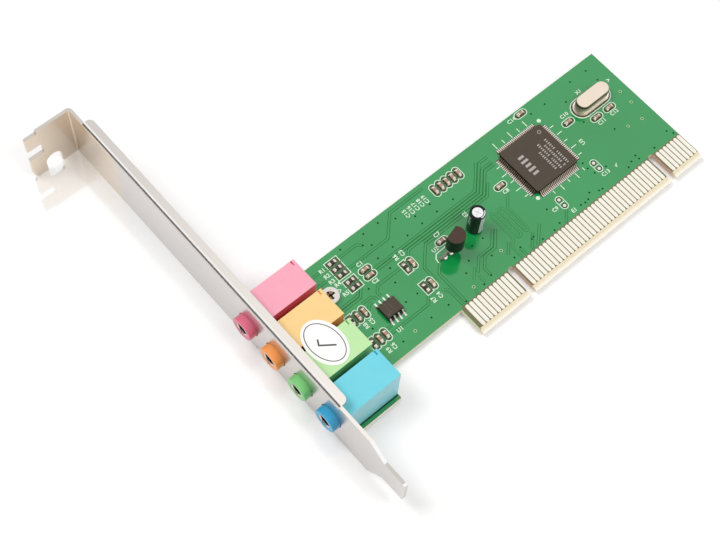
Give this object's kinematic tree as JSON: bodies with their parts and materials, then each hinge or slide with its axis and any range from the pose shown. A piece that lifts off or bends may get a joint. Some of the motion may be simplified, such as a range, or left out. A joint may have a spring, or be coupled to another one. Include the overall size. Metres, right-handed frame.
{
  "type": "pci sound card",
  "caption": "Short PCI expansion card with a folded slot bracket, a row of colour-coded audio jacks and a keyed edge connector.",
  "frame": {"origin": "centre of edge contact 1 on the component face, level with the board's lower edge", "axes": "+X along the board away from the bracket, +Y up the board away from the slot, +Z out of the component face"},
  "size_m": [0.1296, 0.12, 0.0184],
  "materials": {
    "blue_plastic": "satin moulded, sky blue",
    "green_plastic": "satin moulded, pale green",
    "orange_plastic": "satin moulded, light orange",
    "pink_plastic": "satin moulded, rose pink",
    "contact_metal": "tin-plated phosphor bronze strip",
    "chip_resin": "moulded epoxy, dark grey",
    "tinned_metal": "bright tin plate",
    "can_aluminium": "bright pressed aluminium",
    "capacitor_film": "black shrink film with a pale stripe",
    "crystal_steel": "nickel plated, pressed",
    "capacitor_ceramic": "fired ceramic, tan",
    "resistor_glaze": "dark glaze",
    "board_laminate": "glass-fibre laminate with glossy green solder mask",
    "contact_gold": "thin gold plate over nickel",
    "solder": "bright solder",
    "bracket_steel": "nickel-plated sheet, faint rolling grain",
    "screw_steel": "nickel plated",
    "sticker_paper": "thin white paper label"
  },
  "bodies": {
    "root": {"blue_jack_housing": "blue_plastic", "blue_jack_sleeve_contact": "contact_metal", "blue_jack_tip_spring": "contact_metal", "blue_jack_ring_spring": "contact_metal", "green_jack_housing": "green_plastic", "green_jack_sleeve_contact": "contact_metal", "green_jack_tip_spring": "contact_metal", "green_jack_ring_spring": "contact_metal", "orange_jack_housing": "orange_plastic", "orange_jack_sleeve_contact": "contact_metal", "orange_jack_tip_spring": "contact_metal", "orange_jack_ring_spring": "contact_metal", "pink_jack_housing": "pink_plastic", "pink_jack_sleeve_contact": "contact_metal", "pink_jack_tip_spring": "contact_metal", "pink_jack_ring_spring": "contact_metal", "audio_chip_body": "chip_resin", "amplifier_body": "chip_resin", "regulator_body": "chip_resin", "audio_chip_leads": "tinned_metal", "amplifier_leads": "tinned_metal", "regulator_leads": "tinned_metal", "capacitor_leads": "tinned_metal", "crystal_leads": "tinned_metal", "capacitor_can": "can_aluminium", "capacitor_sleeve": "capacitor_film", "crystal_can": "crystal_steel", "crystal_rim": "crystal_steel", "chip_capacitors": "capacitor_ceramic", "chip_resistors": "resistor_glaze", "chip_end_caps": "tinned_metal", "circuit_board": "board_laminate", "edge_contacts_front": "contact_gold", "edge_contacts_back": "contact_gold", "soldered_joints": "solder", "slot_bracket": "bracket_steel", "board_screw": "screw_steel", "inspection_sticker": "sticker_paper"}
  },
  "joints": []
}
